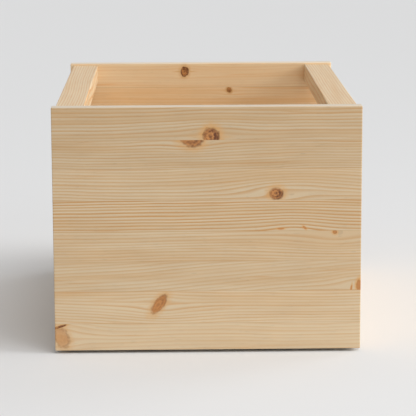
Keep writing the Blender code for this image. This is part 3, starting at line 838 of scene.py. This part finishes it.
def wheel_material():
    """Moulded plastic: satin, with a fine moulded texture and pale dust worn into the tread."""
    material, g, shader = new_material("wheel_plastic_worn")
    coordinates = g.node("ShaderNodeTexCoord").outputs
    place = coordinates["Object"]
    grain = g.noise(place, scale=3800.0, centred=True)
    patches = g.noise(place, scale=420.0, detail=3.0)
    sideways = g.absolute(g.separate(coordinates["Normal"])[0])
    tread = g.smooth(sideways, 0.35, 0.75, 1.0, 0.0)
    dust = g.mul(tread, g.smooth(patches, 0.42, 0.62))
    colour = g.mix_colour(patches, PLASTIC_BLACK, PLASTIC_GREY)
    g.put(shader.inputs["Base Color"], g.mix_colour(g.mul(dust, 0.45), colour, DUST))
    g.put(shader.inputs["Roughness"], g.add(0.36, g.mul_add(grain, 0.2, g.mul(dust, 0.25))))
    g.bump(shader, g.mul_add(patches, 0.6, grain), 0.04 * MM, 0.4)
    return material


WHEEL_SIDES = 64
WHEEL_BORE = 2.2 * MM
WHEEL_HUB = 5.2 * MM
WHEEL_RIM = 3.0 * MM
WHEEL_DISH = 2.5 * MM
WHEEL_CORNER = 2.0 * MM
WHEEL_BEND = 0.6 * MM
CORNER_STEPS = 6
GROOVE_MIDDLE = 1.45 * MM
GROOVE_WIDTH = 1.1 * MM
GROOVE_FLOOR = 0.5 * MM
GROOVE_DEPTH = 0.35 * MM
WHEEL_RIBS = 6
RIB_WIDTH = 1.0 * MM
RIB_SETBACK = 0.8 * MM
RIB_OVERLAP = 0.5 * MM


def wheel_profile(radius, half):
    """One side's section, from the tread's middle to the bore, as (radius, distance from the middle)."""
    points = [
        (radius, GROOVE_MIDDLE - GROOVE_WIDTH / 2),
        (radius - GROOVE_DEPTH, GROOVE_MIDDLE - GROOVE_FLOOR / 2),
        (radius - GROOVE_DEPTH, GROOVE_MIDDLE + GROOVE_FLOOR / 2),
        (radius, GROOVE_MIDDLE + GROOVE_WIDTH / 2),
    ]
    for step in range(CORNER_STEPS + 1):
        turn = math.pi / 2 * step / CORNER_STEPS
        points.append((
            radius - WHEEL_CORNER + WHEEL_CORNER * math.cos(turn),
            half - WHEEL_CORNER + WHEEL_CORNER * math.sin(turn),
        ))
    rim, dish = radius - WHEEL_RIM, half - WHEEL_DISH
    bend = WHEEL_BEND
    points += [(rim + bend / 2, half), (rim, half - bend / 2)]
    points += [(rim - bend, dish + bend), (rim - 2 * bend, dish)]
    points += [(WHEEL_HUB + 2 * bend, dish), (WHEEL_HUB + bend, dish + bend), (WHEEL_HUB, half - bend / 2)]
    points += [(WHEEL_HUB - bend / 2, half), (WHEEL_BORE + bend / 2, half), (WHEEL_BORE, half - bend / 2)]
    return points


def wheel_mesh(node):
    """A moulded wheel about X: a grooved tread, round edges, a ribbed dish on each side and a hub."""
    low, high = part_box(node)
    centre = (low + high) / 2
    radius, half = (high.z - low.z) / 2, (high.x - low.x) / 2
    side = wheel_profile(radius, half)
    outline = [(r, -x) for r, x in reversed(side)] + side
    turns = [math.tau * k / WHEEL_SIDES for k in range(WHEEL_SIDES)]
    bm = bmesh.new()
    rings = []
    for r, x in outline:
        rings.append(ring_of(bm, [
            (centre.x + x, centre.y + r * math.cos(turn), centre.z + r * math.sin(turn)) for turn in turns
        ]))
    join_rings(bm, rings, closed=True)
    inner, outer = WHEEL_HUB - RIB_OVERLAP, radius - WHEEL_RIM + RIB_OVERLAP
    for k in range(WHEEL_RIBS):
        turn = Matrix.Rotation(math.tau * k / WHEEL_RIBS, 4, "X")
        size = (2 * (half - RIB_SETBACK), RIB_WIDTH, outer - inner)
        matrix = Matrix.Translation(centre) @ turn @ Matrix.Translation((0.0, 0.0, (inner + outer) / 2))
        bmesh.ops.create_cube(bm, size=1.0, matrix=matrix @ Matrix.Diagonal((*size, 1.0)))
    mesh = mesh_from(bm, f"{node}_visual")
    mesh.shade_smooth()
    mesh.set_sharp_from_angle(angle=math.radians(40))
    return mesh


def repaint(node, material):
    """A CAD piece keeps its shape and gets a better material."""
    for held in bpy.data.objects[node].material_slots:
        held.material = material


def make_castors():
    zinc = steel_material("zinc_plate", ZINC_COLOUR, roughness=0.30, crystal=1.6)
    bright = steel_material("bright_plate", BRIGHT_COLOUR, roughness=0.20, crystal=0.7)
    plastic = wheel_material()
    for node in list(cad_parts):
        if node.startswith(("castor_plate_", "castor_fork_")):
            repaint(node, zinc)
        elif node.startswith(("castor_kingpin_", "castor_axle_", "castor_screw_")):
            repaint(node, bright)
        elif node.startswith("castor_wheel_"):
            place = node.removeprefix("castor_wheel_")
            add_piece(f"{node}_moulded", wheel_mesh(node), plastic, f"wheel_{place}", node)


make_boards()
make_dowels()
repaint("floor_board", plywood_material())
make_castors()


# --- Studio ------------------------------------------------------------------------------------------

FLOOR_REACH = 10.0
FLOOR_COLOUR = (0.776, 0.779, 0.783, 1.0)
WORLD_STRENGTH = 0.47
BOX_MIDDLE = (0.0, 0.0, 0.12)
CAMERA_PLACE = (-0.0421, -2.6293, 0.6331)
CAMERA_YAW, CAMERA_PITCH, CAMERA_ROLL = [math.radians(angle) for angle in (-1.034, 10.643, -0.230)]
CAMERA_LENS = 168.24


def make_floor():
    bm = bmesh.new()
    bmesh.ops.create_grid(bm, x_segments=8, y_segments=8, size=FLOOR_REACH)
    material, _, shader = new_material("studio_floor")
    shader.inputs["Base Color"].default_value = FLOOR_COLOUR
    shader.inputs["Roughness"].default_value = 0.9
    shader.inputs["Specular IOR Level"].default_value = 0.0
    floor = object_from(bm, "studio_floor")
    floor.data.materials.append(material)


def add_lamp(light, place, target):
    lamp = bpy.data.objects.new(light.name, light)
    lamp.location = place
    lamp.rotation_euler = (Vector(target) - Vector(place)).to_track_quat("-Z", "Y").to_euler()
    bpy.context.scene.collection.objects.link(lamp)


def add_area_light(name, place, size, power):
    """A square lamp in the room, aimed at the box."""
    light = bpy.data.lights.new(name, "AREA")
    light.size = size
    light.energy = power
    add_lamp(light, place, BOX_MIDDLE)


def add_broad_light(name, bearing, height, strength):
    """A far, very soft lamp. bearing turns from +X toward +Y, and height is above the floor, in degrees."""
    light = bpy.data.lights.new(name, "SUN")
    light.energy = strength
    light.angle = math.radians(30)
    turn, rise = math.radians(bearing), math.radians(height)
    place = (math.cos(rise) * math.cos(turn), math.cos(rise) * math.sin(turn), math.sin(rise))
    add_lamp(light, place, (0.0, 0.0, 0.0))


def make_lights():
    world = bpy.data.worlds.new("studio")
    world.use_nodes = True
    background = world.node_tree.nodes["Background"]
    background.inputs["Color"].default_value = (1.0, 1.0, 1.0, 1.0)
    background.inputs["Strength"].default_value = WORLD_STRENGTH
    bpy.context.scene.world = world
    add_broad_light("key", -12.0, 22.0, 1.50)
    add_broad_light("back_key", 35.0, 22.0, 0.55)
    add_broad_light("front_fill", -60.0, 62.0, 0.71)
    add_area_light("front_right_fill", (1.2, -1.6, 1.2), size=0.8, power=5.0)
    add_area_light("right_fill", (2.6, -0.55, 1.10), size=1.2, power=9.0)


def make_camera():
    camera = bpy.data.cameras.new("camera")
    camera.sensor_width = 36.0
    camera.lens = CAMERA_LENS
    camera.clip_start = 0.05
    camera.clip_end = 60.0
    place = bpy.data.objects.new("camera", camera)
    place.location = CAMERA_PLACE
    level = Matrix.Rotation(CAMERA_YAW, 3, "Z") @ Matrix.Rotation(math.pi / 2 - CAMERA_PITCH, 3, "X")
    place.rotation_euler = (level @ Matrix.Rotation(CAMERA_ROLL, 3, "Z")).to_euler()
    bpy.context.scene.collection.objects.link(place)
    bpy.context.scene.camera = place


make_floor()
make_lights()
make_camera()
bpy.context.scene.view_settings.view_transform = "Standard"
